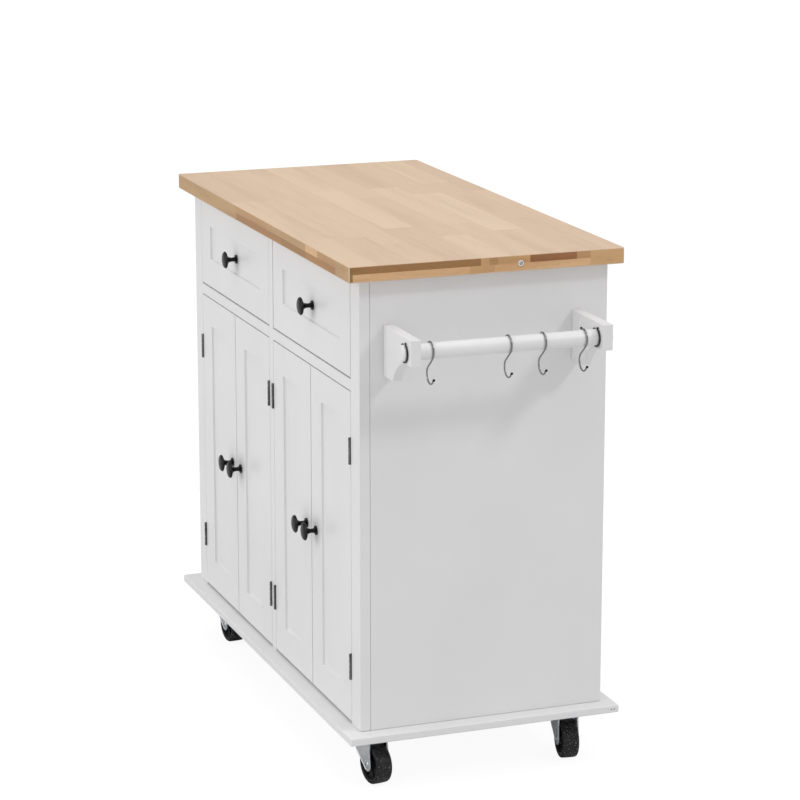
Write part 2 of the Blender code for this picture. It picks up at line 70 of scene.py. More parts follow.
# fittings
WIRE_R = 1.3 * MM
HOOK_LOOP_R = 14 * MM
HOOK_DROP = 36.5 * MM
HOOK_TIP = 25.0                   # degrees short of a half turn at the lower tip
HOOK_UPPER_TIP = {1: 25.0, 2: 25.0, 3: 25.0, 4: 65.0}   # the same for the upper tip of each hook
HOOK_BALL_R = 2.1 * MM
RING_WIRE_R = 1.3 * MM
RING_START = 64.0                 # degrees, where a retaining ring's upper end is
RING_OPEN = 50.0                  # degrees left open beyond that end
BRACKET_ARM_Z = 702.8 * MM        # underside of a bracket's arm
BRACKET_FOOT = 39 * MM            # width of a bracket where the cove starts
BRACKET_TIP = 18 * MM             # from the cove's end to the end of the arm
BARREL_R = 1.7 * MM
LEAF_T = 0.5 * MM
LEAF_DEPTH = 15 * MM
KNUCKLES = 5
AXLE_R = 3 * MM
WHEEL_W = 26.5 * MM
PLATE_T = 2.5 * MM                # of a caster's plate
FORK_T = 2 * MM
CROWN_T = 2.8 * MM

# camera, from a target on the cart
CAMERA_AT = Vector((4.4180, -1.6412, 1.6863))
CAMERA_TURN = 69.536              # degrees round from the front
CAMERA_DOWN = 13.859              # degrees below level
LENS = 131.47


# ---------------------------------------------------------------- shader nodes

def feed(tree, socket, value):
    if isinstance(value, bpy.types.NodeSocket):
        tree.links.new(value, socket)
    else:
        socket.default_value = value


def add(tree, kind, inputs=None, **settings):
    """A shader node with its settings made and its sockets fed."""
    node = tree.nodes.new("ShaderNode" + kind)
    for key, value in settings.items():
        setattr(node, key, value)
    for name, value in (inputs or {}).items():
        feed(tree, node.inputs[name], value)
    return node


def maths(tree, operation, *values, clamp=False):
    node = add(tree, "Math", operation=operation, use_clamp=clamp)
    for socket, value in zip(node.inputs, values):
        feed(tree, socket, value)
    return node.outputs[0]


def blend_colour(tree, factor, first, second, mode='MIX'):
    node = add(tree, "Mix", data_type='RGBA', blend_type=mode)
    feed(tree, node.inputs[0], factor)
    feed(tree, node.inputs[6], first)
    feed(tree, node.inputs[7], second)
    return node.outputs[2]


def ramp(tree, factor, stops, interpolation='LINEAR'):
    """A colour ramp from (position, colour) pairs."""
    node = add(tree, "ValToRGB", {"Fac": factor})
    node.color_ramp.interpolation = interpolation
    elements = node.color_ramp.elements
    while len(elements) < len(stops):
        elements.new(0.5)
    for element, (position, colour) in zip(elements, stops):
        element.position = position
        element.color = (*colour, 1.0)
    return node.outputs["Color"]


def spread(tree, value, low, high):
    """A value from 0 to 1 spread from low to high."""
    node = add(tree, "MapRange", {"Value": value, "To Min": low, "To Max": high})
    return node.outputs["Result"]


def noise(tree, vector, scale, detail, roughness=0.5):
    """Cloudy noise about 0.5."""
    node = add(tree, "TexNoise", {"Vector": vector, "Scale": scale, "Detail": detail, "Roughness": roughness})
    return node.outputs["Fac"]


def start_group(name, inputs, outputs):
    """An empty node group with named sockets; gives the group, its given values and its results."""
    group = bpy.data.node_groups.new(name, "ShaderNodeTree")
    for label, kind, value in inputs:
        socket = group.interface.new_socket(name=label, in_out='INPUT', socket_type="NodeSocket" + kind)
        if value is not None:
            socket.default_value = value
    for label, kind in outputs:
        group.interface.new_socket(name=label, in_out='OUTPUT', socket_type="NodeSocket" + kind)
    given = group.nodes.new("NodeGroupInput").outputs
    result = group.nodes.new("NodeGroupOutput").inputs
    return group, given, result


def use_group(tree, group, inputs):
    node = tree.nodes.new("ShaderNodeGroup")
    node.node_tree = group
    for name, value in inputs.items():
        feed(tree, node.inputs[name], value)
    return node.outputs


def staves_group():
    """Glued staves; X of the vector runs along the grain, Y across the staves."""
    group, given, result = start_group(
        "glued_staves",
        [("Vector", "Vector", None), ("Stave Length", "Float", 0.3), ("Stave Width", "Float", 0.05),
         ("Finger Depth", "Float", 0.0), ("Seed", "Float", 0.0)],
        [("Along", "Float"), ("Tone", "Float"), ("Band", "Float"), ("Pore", "Float"), ("Joint", "Float")])
    parts = add(group, "SeparateXYZ", {"Vector": given["Vector"]}).outputs
    across = maths(group, 'DIVIDE', parts["Y"], given["Stave Width"])
    row = maths(group, 'FLOOR', across)
    row_key = add(group, "CombineXYZ", {"X": row, "Y": given["Seed"]}).outputs[0]
    row_shift = add(group, "TexWhiteNoise", {"Vector": row_key}, noise_dimensions='2D').outputs["Value"]
    finger = maths(group, 'PINGPONG', parts["Y"], 2 * MM)
    fingered = maths(group, 'MULTIPLY_ADD', finger, given["Finger Depth"], parts["X"])
    feed(group, result["Along"], fingered)
    along = maths(group, 'DIVIDE', fingered, given["Stave Length"])
    along = maths(group, 'MULTIPLY_ADD', row_shift, 5.0, along)
    cell = maths(group, 'FLOOR', along)
    key = add(group, "CombineXYZ", {"X": row, "Y": cell, "Z": given["Seed"]}).outputs[0]
    tone = add(group, "TexWhiteNoise", {"Vector": key}, noise_dimensions='3D').outputs
    feed(group, result["Tone"], tone["Value"])

    own_place = add(group, "VectorMath", operation='MULTIPLY_ADD')
    feed(group, own_place.inputs[0], tone["Color"])
    feed(group, own_place.inputs[1], (7.0, 7.0, 7.0))
    feed(group, own_place.inputs[2], given["Vector"])
    for label, scale, detail, distortion in (("Band", (3.0, 42.0, 42.0), 4.0, 0.8),
                                             ("Pore", (55.0, 1400.0, 1400.0), 2.0, 0.0)):
        stretched = add(group, "Mapping", {"Vector": own_place.outputs[0], "Scale": scale})
        noise = add(group, "TexNoise", {"Vector": stretched.outputs[0], "Scale": 1.0, "Detail": detail,
                                        "Distortion": distortion})
        feed(group, result[label], noise.outputs["Fac"])

    edges = []
    for value, size in ((along, given["Stave Length"]), (across, given["Stave Width"])):
        near = maths(group, 'PINGPONG', value, 0.5)
        edges.append(maths(group, 'MULTIPLY', near, size))
    nearest = maths(group, 'MINIMUM', *edges)
    share = maths(group, 'DIVIDE', nearest, JOINT_HALF_WIDTH)
    feed(group, result["Joint"], maths(group, 'SUBTRACT', 1.0, share, clamp=True))
    return group


def film_group():
    """A sprayed film: its fine ripple, its slow change of tone and its change of gloss."""
    group, given, result = start_group(
        "sprayed_film", [("Vector", "Vector", None), ("Ripple Scale", "Float", 420.0)],
        [("Ripple", "Float"), ("Tone", "Float"), ("Gloss", "Float")])
    feed(group, result["Ripple"], noise(group, given["Vector"], given["Ripple Scale"], 2.0))
    feed(group, result["Tone"], noise(group, given["Vector"], 5.0, 3.0))
    feed(group, result["Gloss"], noise(group, given["Vector"], 38.0, 4.0, 0.6))
    return group


def edge_highlight_group():
    """A mask along edges that turn within the radius, broken into patches by noise; it places a painted
    highlight on rounded edges.
    """
    group, given, result = start_group(
        "painted_edge_highlight", [("Vector", "Vector", None), ("Radius", "Float", 0.6 * MM)], [("Mask", "Float")])
    rounded = add(group, "Bevel", {"Radius": given["Radius"]}, samples=4)
    facing = add(group, "NewGeometry").outputs["Normal"]
    same = add(group, "VectorMath", {0: rounded.outputs[0], 1: facing}, operation='DOT_PRODUCT')
    turned_away = maths(group, 'SUBTRACT', 1.0, same.outputs["Value"])
    patches = noise(group, given["Vector"], 260.0, 3.0)
    mask = maths(group, 'MULTIPLY', maths(group, 'MULTIPLY', turned_away, 6.0), patches, clamp=True)
    feed(group, result["Mask"], mask)
    return group


STAVES = staves_group()
FILM = film_group()
EDGE_HIGHLIGHT = edge_highlight_group()


def start_material(name, metallic=0.0, **fixed):
    """A material with its shader and the piece's own coordinates."""
    material = bpy.data.materials.new(name)
    material.use_nodes = True
    tree = material.node_tree
    shader = tree.nodes["Principled BSDF"]
    shader.inputs["Metallic"].default_value = metallic
    for label, value in fixed.items():
        shader.inputs[label.replace("_", " ")].default_value = value
    coords = add(tree, "TexCoord").outputs["Object"]
    return material, tree, shader, coords


def raise_bumps(tree, shader, height, distance, strength=1.0):
    bump = add(tree, "Bump", {"Height": height, "Distance": distance, "Strength": strength})
    tree.links.new(bump.outputs["Normal"], shader.inputs["Normal"])


def film_material(name, low, high, gloss, edge_highlight=None, ripple=420.0, ripple_height=0.02 * MM, glints=0.0,
                  **fixed):
    """A sprayed or moulded surface between two tones.

    Its edge colour is a painted highlight along rounded edges, and its speck brightness gives painted glints
    speckled over it.
    """
    material, tree, shader, coords = start_material(name, **fixed)
    film = use_group(tree, FILM, {"Vector": coords, "Ripple Scale": ripple})
    colour = ramp(tree, film["Tone"], ((0.3, low), (0.7, high)))
    rough = spread(tree, film["Gloss"], *gloss)
    # painted highlight: rounded edges lighten towards the edge colour, in patches
    if edge_highlight:
        mask = use_group(tree, EDGE_HIGHLIGHT, {"Vector": coords})["Mask"]
        colour = blend_colour(tree, mask, colour, (*edge_highlight, 1.0))
    # painted glints: bright specks speckled over the surface
    if glints:
        above = maths(tree, 'SUBTRACT', noise(tree, coords, 620.0, 3.0, 0.7), GLINT_LEVEL)
        glint_mask = maths(tree, 'MULTIPLY', above, GLINT_SHARPNESS, clamp=True)
        colour = blend_colour(tree, glint_mask, colour, (glints, glints, glints, 1.0))
    feed(tree, shader.inputs["Base Color"], colour)
    feed(tree, shader.inputs["Roughness"], rough)
    raise_bumps(tree, shader, film["Ripple"], ripple_height)
    return material


def steel_material(name, low, high, gloss, along=(1.0, 1.0, 60.0), streak=90.0):
    """Plated steel with drawing marks along one axis and cloudy plating."""
    material, tree, shader, coords = start_material(name, metallic=1.0)
    film = use_group(tree, FILM, {"Vector": coords, "Ripple Scale": 700.0})
    marks = add(tree, "Mapping", {"Vector": coords, "Scale": along})
    marks = noise(tree, marks.outputs[0], streak, 3.0)
    cloud = maths(tree, 'MULTIPLY', film["Gloss"], marks)
    colour = ramp(tree, cloud, ((0.12, low), (0.42, high)))
    feed(tree, shader.inputs["Base Color"], colour)
    feed(tree, shader.inputs["Roughness"], spread(tree, marks, *gloss))
    raise_bumps(tree, shader, marks, 0.02 * MM)
    return material


TAN = ((0.0, (0.690, 0.500, 0.345)), (0.35, (0.735, 0.540, 0.375)), (0.7, (0.765, 0.575, 0.400)),
       (1.0, (0.790, 0.610, 0.435)))
PALE, LIGHT, HONEY = (0.770, 0.478, 0.249), (0.665, 0.402, 0.190), (0.547, 0.345, 0.161)
OCHRE, RUSSET, WALNUT = (0.540, 0.310, 0.136), (0.440, 0.222, 0.078), (0.380, 0.195, 0.068)
OLIVE, BROWN, GLUE_LINE = (0.340, 0.195, 0.070), (0.350, 0.150, 0.053), (0.25, 0.15, 0.08)


def wood_material(name, axes, start, length, width, seed, tones=TAN, layers=None, finger=0.0, marks=0.35,
                  streaks=0.55):
    """Oiled staves; `axes` says which coordinate runs along and across them.

    `layers` gives an upper and a lower strip as (place along, colour) pairs from `start`.
    """
    material, tree, shader, coords = start_material(name)
    moved = add(tree, "VectorMath", {0: coords, 1: start}, operation='SUBTRACT').outputs[0]
    parts = add(tree, "SeparateXYZ", {"Vector": moved}).outputs
    lengthwise = add(tree, "CombineXYZ", {to: parts[of] for to, of in zip("XYZ", axes)}).outputs[0]
    staves = use_group(tree, STAVES, {"Vector": lengthwise, "Stave Length": length, "Stave Width": width,
                                      "Finger Depth": finger, "Seed": seed})
    if layers:
        upper, lower = (ramp(tree, maths(tree, 'DIVIDE', staves["Along"], length), strip, 'CONSTANT')
                        for strip in layers)
        colour = blend_colour(tree, maths(tree, 'GREATER_THAN', parts["Z"], 0.0), lower, upper)
    else:
        colour = ramp(tree, staves["Tone"], tones)
        glue = maths(tree, 'MULTIPLY', staves["Joint"], marks)
        colour = blend_colour(tree, glue, colour, (*GLUE_LINE, 1.0))
    band = ramp(tree, staves["Band"],
                ((0.30, (0.78, 0.71, 0.64)), (0.52, (0.97, 0.96, 0.95)), (0.7, (1.0, 1.0, 1.0))))
    colour = blend_colour(tree, streaks, colour, band, 'MULTIPLY')
    pore = ramp(tree, staves["Pore"], ((0.30, (0.62, 0.52, 0.42)), (0.42, (1.0, 1.0, 1.0))))
    colour = blend_colour(tree, 0.6 * streaks, colour, pore, 'MULTIPLY')
    feed(tree, shader.inputs["Base Color"], colour)
    feed(tree, shader.inputs["Roughness"], spread(tree, staves["Band"], 0.36, 0.52))
    raise_bumps(tree, shader, staves["Pore"], 0.04 * MM, 0.6)
    return material


# ---------------------------------------------------------------- mesh work

def arc(centre, radius, start, end, steps):
    """Points on an arc as pairs, in degrees."""
    points = []
    for step in range(steps + 1):
        angle = math.radians(start + (end - start) * step / steps)
        points.append((centre[0] + radius * math.cos(angle), centre[1] + radius * math.sin(angle)))
    return points


def board(lo, hi, rounding=BOARD_EDGE, segments=3):
    """A board between two corners with every edge rounded."""
    lo, hi = Vector(lo), Vector(hi)
    bm = bmesh.new()
    bmesh.ops.create_cube(bm, size=1.0)
    bmesh.ops.scale(bm, vec=hi - lo, verts=bm.verts)
    bmesh.ops.translate(bm, vec=(lo + hi) / 2, verts=bm.verts)
    if rounding:
        bmesh.ops.bevel(bm, geom=bm.edges[:], offset=rounding, segments=segments, profile=0.5, affect='EDGES')
    return bm


def prism(outline, along, start, end):
    """An outline of two coordinates pushed from start to end along the third axis."""
    bm = bmesh.new()
    index = "XYZ".index(along)
    rings = []
    for level in (start, end):
        ring = []
        for a, b in outline:
            point = [a, b]
            point.insert(index, level)
            ring.append(bm.verts.new(point))
        rings.append(ring)
    count = len(outline)
    for i in range(count):
        after = (i + 1) % count
        bm.faces.new((rings[0][i], rings[0][after], rings[1][after], rings[1][i]))
    bm.faces.new(rings[0])
    bm.faces.new(rings[1])
    bmesh.ops.recalc_face_normals(bm, faces=bm.faces)
    return bm


def turned(profile, steps=48, closed=False, axis="Y"):
    """A profile of (radius, distance) turned about an axis."""
    bm = bmesh.new()
    rings = []
    for radius, along in profile:
        count = steps if radius > 1e-7 else 1
        ring = []
        for step in range(count):
            angle = 2 * math.pi * step / steps
            ring.append(bm.verts.new((radius * math.cos(angle), along, radius * math.sin(angle))))
        rings.append(ring)
    pairs = list(zip(rings, rings[1:]))
    if closed:
        pairs.append((rings[-1], rings[0]))
    for first, second in pairs:
        for step in range(steps):
            after = (step + 1) % steps
            corners = [first[step % len(first)], first[after % len(first)],
                       second[after % len(second)], second[step % len(second)]]
            bm.faces.new(list(dict.fromkeys(corners)))
    bmesh.ops.recalc_face_normals(bm, faces=bm.faces)
    if axis == "Z":
        bmesh.ops.rotate(bm, verts=bm.verts, matrix=Matrix.Rotation(math.radians(90), 3, 'X'))
    if axis == "X":
        bmesh.ops.rotate(bm, verts=bm.verts, matrix=Matrix.Rotation(math.radians(-90), 3, 'Z'))
    return bm


def drum(radius, start, end, steps, axis="Y"):
    """A plain cylinder along an axis."""
    return turned([(0.0, start), (radius, start), (radius, end), (0.0, end)], steps, axis=axis)


def half_turned(bm, axis):
    """The mesh turned half way round an axis through the origin."""
    bmesh.ops.rotate(bm, verts=bm.verts, matrix=Matrix.Rotation(math.pi, 3, axis))
    return bm


def swept(path, radii, sides=12, dark_ends=0):
    """A round wire along points in space; the last faces at each end may take a second material."""
    bm = bmesh.new()
    path = [Vector(point) for point in path]
    rings = []
    last = len(path) - 1
    up = None
    for i, (point, radius) in enumerate(zip(path, radii)):
        along = (path[min(i + 1, last)] - path[max(i - 1, 0)]).normalized()
        up = along.orthogonal() if up is None else (up - along * up.dot(along))
        up.normalize()
        across = along.cross(up)
        ring = []
        for side in range(sides):
            angle = 2 * math.pi * side / sides
            ring.append(bm.verts.new(point + (up * math.cos(angle) + across * math.sin(angle)) * radius))
        rings.append(ring)
    for i, (first, second) in enumerate(zip(rings, rings[1:])):
        for side in range(sides):
            after = (side + 1) % sides
            face = bm.faces.new((first[side], first[after], second[after], second[side]))
            face.material_index = int(min(i, last - 1 - i) < dark_ends)
    for ring in (rings[0], rings[-1]):
        cap = bm.faces.new(ring)
        cap.material_index = int(dark_ends > 0)
    bmesh.ops.recalc_face_normals(bm, faces=bm.faces)
    return bm


def gathered(parts, material_indices=None):
    """Several meshes as one."""
    whole = bmesh.new()
    for i, part in enumerate(parts):
        if material_indices:
            for face in part.faces:
                face.material_index = material_indices[i]
        mesh = bpy.data.meshes.new("part")
        part.to_mesh(mesh)
        part.free()
        whole.from_mesh(mesh)
        bpy.data.meshes.remove(mesh)
    return whole


def shifted(bm, offset, turn=None):
    """The mesh turned by a matrix and then moved."""
    if turn is not None:
        bmesh.ops.rotate(bm, verts=bm.verts, matrix=turn)
    bmesh.ops.translate(bm, vec=offset, verts=bm.verts)
    return bm


def carved(body, tool, operation='DIFFERENCE'):
    """The result of a Boolean between two meshes, as a mesh under construction."""
    objects = []
    for name, bm in (("carved", body), ("tool", tool)):
        mesh = bpy.data.meshes.new(name)
        bm.to_mesh(mesh)
        bm.free()
        obj = bpy.data.objects.new(name, mesh)
        bpy.context.scene.collection.objects.link(obj)
        objects.append(obj)
    cut = objects[0].modifiers.new("cut", 'BOOLEAN')
    cut.operation = operation
    cut.solver = 'EXACT'
    cut.object = objects[1]
    graph = bpy.context.evaluated_depsgraph_get()
    result = bpy.data.meshes.new_from_object(objects[0].evaluated_get(graph))
    bm = bmesh.new()
    bm.from_mesh(result)
    for obj in objects:
        bpy.data.objects.remove(obj, do_unlink=True)
    bpy.data.meshes.remove(result)
    return bm


def shaped(bm, name, *materials, sharp=38.0):
    """A finished mesh with its materials, shaded smooth up to the sharp angle."""
    mesh = bpy.data.meshes.new(name)
    bm.to_mesh(mesh)
    bm.free()
    mesh.shade_smooth()
    mesh.set_sharp_from_angle(angle=math.radians(sharp))
    for material in materials:
        mesh.materials.append(material)
    return mesh


def fit(name, mesh, body, slot, stands_for=(), at=None, soften=0.0, flats=True):
    """Put a piece on a body; `soften` rounds its edges, `flats` keeps its flat faces even."""
    obj = bpy.data.objects.new(name, mesh)
    bpy.context.scene.collection.objects.link(obj)
    if at is not None:
        obj.matrix_world = at if isinstance(at, Matrix) else Matrix.Translation(at)
    if soften:
        edges = obj.modifiers.new("soft_edges", 'BEVEL')
        edges.width = soften
        edges.segments = 3
        edges.limit_method = 'ANGLE'
        edges.angle_limit = math.radians(38)
        edges.use_clamp_overlap = True
    if flats:
        even = obj.modifiers.new("even_flats", 'WEIGHTED_NORMAL')
        even.keep_sharp = not soften
        even.weight = 100
    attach(obj, body)
    if stands_for:
        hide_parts(*stands_for)
    return obj


# ---------------------------------------------------------------- finishes

# The edge colours given below are painted highlights along rounded edges.
WHITE = film_material("white_satin_paint", (0.800, 0.797, 0.803), (0.835, 0.832, 0.838), (0.30, 0.44),
                      edge_highlight=(0.90, 0.90, 0.90), Coat_Weight=0.08)
LAMINATE = film_material("white_laminate", (0.76, 0.76, 0.755), (0.79, 0.79, 0.785), (0.42, 0.56),
                         ripple=900.0)
BLACK = film_material("black_powder_coat", (0.003, 0.003, 0.003), (0.006, 0.006, 0.007), (0.14, 0.26),
                      edge_highlight=(0.03, 0.03, 0.032), ripple=1500.0, ripple_height=0.02 * MM,
                      Specular_IOR_Level=0.22)
WHEEL_BLACK = film_material("black_wheel_moulding", (0.003, 0.003, 0.004), (0.007, 0.007, 0.008),
                            (0.26, 0.45), edge_highlight=(0.03, 0.03, 0.032), ripple=600.0,
                            ripple_height=0.06 * MM, Specular_IOR_Level=0.2)
# the tread's speck brightness paints glints speckled over it
TREAD = film_material("black_wheel_tread", (0.006, 0.006, 0.007), (0.022, 0.022, 0.024), (0.28, 0.50),
                      edge_highlight=(0.05, 0.05, 0.053), ripple=350.0, ripple_height=0.2 * MM, glints=0.6,
                      Specular_IOR_Level=0.3)
CATCH_WHITE = film_material("white_catch_moulding", (0.74, 0.74, 0.74), (0.80, 0.80, 0.80), (0.34, 0.46))
PLUG_WHITE = film_material("white_plug_moulding", (0.80, 0.79, 0.77), (0.86, 0.85, 0.83), (0.30, 0.42))
# painted shade: the plug's recess is darkened as shade would fall in it
PLUG_SHADE = film_material("painted_shade_plug_recess", (0.20, 0.19, 0.17), (0.30, 0.28, 0.26), (0.40, 0.55))
RING_BLACK = film_material("black_coated_wire", (0.016, 0.016, 0.016), (0.030, 0.030, 0.030), (0.30, 0.42),
                           ripple=1200.0)
ZINC = steel_material("bright_zinc_plate", (0.52, 0.53, 0.55), (0.80, 0.81, 0.83), (0.18, 0.34))
DARK_STEEL = steel_material("dark_plated_steel", (0.06, 0.06, 0.062), (0.30, 0.30, 0.305), (0.22, 0.38))
HOOK_STEEL = steel_material("dark_hook_wire", (0.17, 0.17, 0.175), (0.36, 0.36, 0.37), (0.16, 0.30))
RUNNER_WOOD = wood_material("sanded_hardwood", "YXZ", (0, 0, 0), 3.0, 0.2, 4.0)


def painted(name, bm, body, node, sharp=38.0, **more):
    """A white piece in place of a node."""
    fit(name, shaped(bm, name, WHITE, sharp=sharp), body, "white_paint", [node], **more)


# ---------------------------------------------------------------- worktop and boards

def make_worktop():
    lo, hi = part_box("worktop")
    middle_z = (lo.z + hi.z) / 2
    plan = wood_material("oiled_staves", "XYZ", lo, 0.36, 0.052, 3.0, marks=0.12, streaks=0.42)
    width, depth = hi.x - lo.x, hi.y - lo.y
    upper = ((0.0, OLIVE), (0.012, WALNUT), (0.470, LIGHT), (0.502, OCHRE), (0.535, LIGHT), (0.652, BROWN),
             (0.822, OCHRE), (0.873, LIGHT))
    lower = ((0.0, OLIVE), (0.012, PALE), (0.430, LIGHT), (0.520, PALE), (0.873, LIGHT))
    ends = wood_material("oiled_end_strips", "YXZ", (0.0, lo.y, middle_z), depth, 1.0, 11.0,
                         layers=(upper, lower), finger=1.5, streaks=0.95)
    upper = ((0.0, HONEY), (0.377, OCHRE), (0.560, HONEY), (0.774, PALE), (0.838, OCHRE), (0.932, HONEY),
             (0.958, OCHRE), (0.983, HONEY))
    lower = ((0.0, HONEY), (0.377, RUSSET), (0.640, WALNUT), (0.774, RUSSET), (0.932, HONEY))
    sides = wood_material("oiled_side_strips", "XYZ", (lo.x, 0.0, middle_z), width, 1.0, 23.0,
                          layers=(upper, lower), finger=1.5, streaks=0.95)
    bm = board(lo, hi, 0.0)
    bm.normal_update()
    for face in bm.faces:
        normal = face.normal
        face.material_index = 0 if abs(normal.z) > 0.5 else 1 if abs(normal.x) > 0.5 else 2
    bmesh.ops.bevel(bm, geom=bm.edges[:], offset=TOP_EDGE, segments=4, profile=0.5, affect='EDGES')
    fit("worktop_oiled", shaped(bm, "worktop_oiled", plan, ends, sides), "cabinet", "worktop_wood",
        ["worktop"])

    lo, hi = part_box("worktop_edge_plug")
    radius = (hi.z - lo.z) / 2
    height = hi.x - lo.x
    rim = [(0.0, 0.0), (radius, 0.0), (radius, height * 0.5), (radius - 0.4 * MM, height),
           (radius * 0.62, height), (radius * 0.54, height * 0.4), (0.0, height * 0.3)]
    bm = turned(rim, 40, axis="X")
    # faces inside the recess take the painted shade material
    for face in bm.faces:
        middle = face.calc_center_median()
        face.material_index = int(middle.x < height * 0.9 and math.hypot(middle.y, middle.z) < radius * 0.6)
    reach, half = radius * 0.55, radius * 0.12
    bar = board((height * 0.2, -reach, -half), (height * 0.6, reach, half), 0.0)
    bmesh.ops.rotate(bar, verts=bar.verts, matrix=Matrix.Rotation(math.radians(-40), 3, 'X'))
    cap = shaped(gathered([bm, bar]), "edge_plug", PLUG_WHITE, PLUG_SHADE)
    at = Vector((lo.x, (lo.y + hi.y) / 2, (lo.z + hi.z) / 2))
    fit("edge_plug", cap, "cabinet", "plug_plastic", ["worktop_edge_plug"], at, flats=False)


def screw_mesh():
    """A pan head with a cross recess; its seat is at the origin and it points to +Z."""
    radius, height = 3.2 * MM, 1.9 * MM
    dome = [(0.0, -0.2 * MM), (radius, -0.2 * MM), (radius, 0.35 * MM)]
    dome += [(radius * math.cos(a), 0.35 * MM + (height - 0.35 * MM) * math.sin(a))
             for a in (math.radians(step * 90 / 7) for step in range(1, 7))] + [(0.0, height)]
    head = half_turned(turned([(r, -z) for r, z in dome], 28, axis="Z"), 'X')
    length, width = 1.9 * MM, 0.42 * MM
    quarter = [(length, width), (width, width), (width, length)]
    half = quarter + [(-x, y) for x, y in reversed(quarter)]
    cross = half + [(-x, -y) for x, y in half]
    return shaped(carved(head, prism(cross, "Z", 0.7 * MM, 3 * MM)), "screw", ZINC)


def fasten(name, screw, places, body, facing):
    """One group of screws with their heads facing a direction, as one piece."""
    turn = Vector(facing).to_track_quat('Z', 'Y').to_matrix()
    heads = bmesh.new()
    for number, place in enumerate(places):
        head = bmesh.new()
        head.from_mesh(screw)
        spin = Matrix.Rotation(math.radians(37 * number), 3, 'Z')
        shifted(head, Vector(place), turn @ spin)
        mesh = bpy.data.meshes.new("head")
        head.to_mesh(mesh)
        head.free()
        heads.from_mesh(mesh)
        bpy.data.meshes.remove(mesh)
    fit(name, shaped(heads, name, ZINC), body, "zinc_steel", flats=False)


def make_boards():
    for node in ("side_panel_left", "side_panel_right", "back_panel", "centre_partition", "shelf_left",
                 "shelf_right"):
        painted(node + "_painted", board(*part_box(node)), "cabinet", node)

    lo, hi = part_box("base_board")
    base = board(lo, hi, 1.5 * MM, 4)
    level = (lo.z + hi.z) / 2
    holes, pins = [], []
    for x in (lo.x, hi.x):
        for inset in (8 * MM, 13 * MM):
            hole = drum(1.2 * MM, -2 * MM, 2 * MM, 20, "X")
            holes.append(shifted(hole, (x, hi.y - inset, level)))
            # The dark steel pins sunk in these holes are painted shade that darkens the holes.
            pin = drum(1.1 * MM, -1.6 * MM, 1.6 * MM, 20, "X")
            pins.append(shifted(pin, (x - math.copysign(2.2 * MM, x), hi.y - inset, level)))
    base = gathered([carved(base, gathered(holes)), gathered(pins)], [0, 1])
    fit("base_board_painted", shaped(base, "base_board_painted", WHITE, DARK_STEEL), "cabinet", "white_paint",
        ["base_board"])


def make_face_frame():
    """Three stiles and two rails with fine joints where they meet."""
    lo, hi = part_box("face_frame")
    door_lo, door_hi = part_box("door_4")
    inner_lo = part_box("door_3")[0]
    drawer_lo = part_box("drawer_front_right")[0]
    middle = (lo.x + hi.x) / 2
    stile_x = door_hi.x + FRONT_GAP - middle
    post_x = inner_lo.x - FRONT_GAP - middle
    rail_z0, rail_z1 = door_hi.z + DOOR_TOP_GAP, drawer_lo.z - DRAWER_BOTTOM_GAP
    joint = 0.08 * MM
    for side, word in SIDES:
        x0, x1 = sorted((middle + side * stile_x, middle + side * (hi.x - middle)))
        stile = board((x0, lo.y, lo.z), (x1, hi.y, hi.z), 1.1 * MM, 4)
        painted(f"corner_stile_{word}", stile, "cabinet", "face_frame")
        x0, x1 = sorted((middle + side * (post_x + joint), middle + side * (stile_x - joint)))
        rail = board((x0, lo.y, rail_z0), (x1, hi.y, rail_z1), 0.5 * MM)
        painted(f"drawer_rail_{word}", rail, "cabinet", "face_frame")
    post = board((middle - post_x, lo.y, lo.z), (middle + post_x, hi.y, hi.z), 0.7 * MM)
    painted("centre_stile", post, "cabinet", "face_frame")


def panelled_front(lo, hi):
    """A board whose front has a routed step down to a flat field inside a border."""
    bm = board(lo, hi, 0.7 * MM)
    front = min(bm.faces, key=lambda face: (round(face.calc_center_median().y, 5), -face.calc_area()))
    lip, cove = 0.9 * MM, 2.6 * MM
    steps = [(BORDER - 0.7 * MM, 0.0)]
    for part in range(1, 4):
        angle = math.radians(30 * part)
        steps.append((BORDER - 0.7 * MM + lip * math.sin(angle), lip * (1 - math.cos(angle))))
    edge = steps[-1][0] + 0.15 * MM
    steps.append((edge, FIELD_DEPTH - cove))
    for part in range(1, 5):
        angle = math.radians(22.5 * part)
        steps.append((edge + cove * (1 - math.cos(angle)), FIELD_DEPTH - cove + cove * math.sin(angle)))
    gone_in, gone_down = 0.0, 0.0
    for inward, down in steps:
        bmesh.ops.inset_individual(bm, faces=[front], thickness=inward - gone_in, depth=gone_down - down,
                                   use_even_offset=True)
        gone_in, gone_down = inward, down
    return bm


def knob_mesh(length):
    """A mushroom knob whose foot is at the origin and whose head points to -Y."""
    head_r, foot_r, neck_r = 14.5 * MM, 7.6 * MM, 3.5 * MM
    profile = [(0.0, 0.0), (foot_r, 0.0)] + arc((foot_r - 0.8 * MM, 1.4 * MM), 0.8 * MM, 0, 90, 4)
    profile += [(5.4 * MM, 2.3 * MM), (4.3 * MM, 3.2 * MM), (neck_r + 0.2 * MM, 5.0 * MM), (neck_r, 8.0 * MM),
                (neck_r + 0.3 * MM, 11.0 * MM), (5.0 * MM, 14.0 * MM), (7.6 * MM, 16.6 * MM),
                (11.0 * MM, 18.2 * MM), (13.6 * MM, 18.9 * MM)]
    profile += arc((head_r - 1.1 * MM, 20.0 * MM), 1.1 * MM, -60, 60, 6)
    crown = length - 20.9 * MM
    for step in range(1, 9):
        share = step / 8
        profile.append(((head_r - 0.7 * MM) * math.cos(math.radians(90 * share)),
                        20.9 * MM + crown * math.sin(math.radians(90 * share))))
    profile[-1] = (0.0, length)
    bm = turned([(radius, -along) for radius, along in profile], 56)
    return shaped(bm, "knob", BLACK, sharp=50.0)


def knob_place(node):
    lo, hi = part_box(node)
    return Vector(((lo.x + hi.x) / 2, hi.y, (lo.z + hi.z) / 2)), hi.y - lo.y


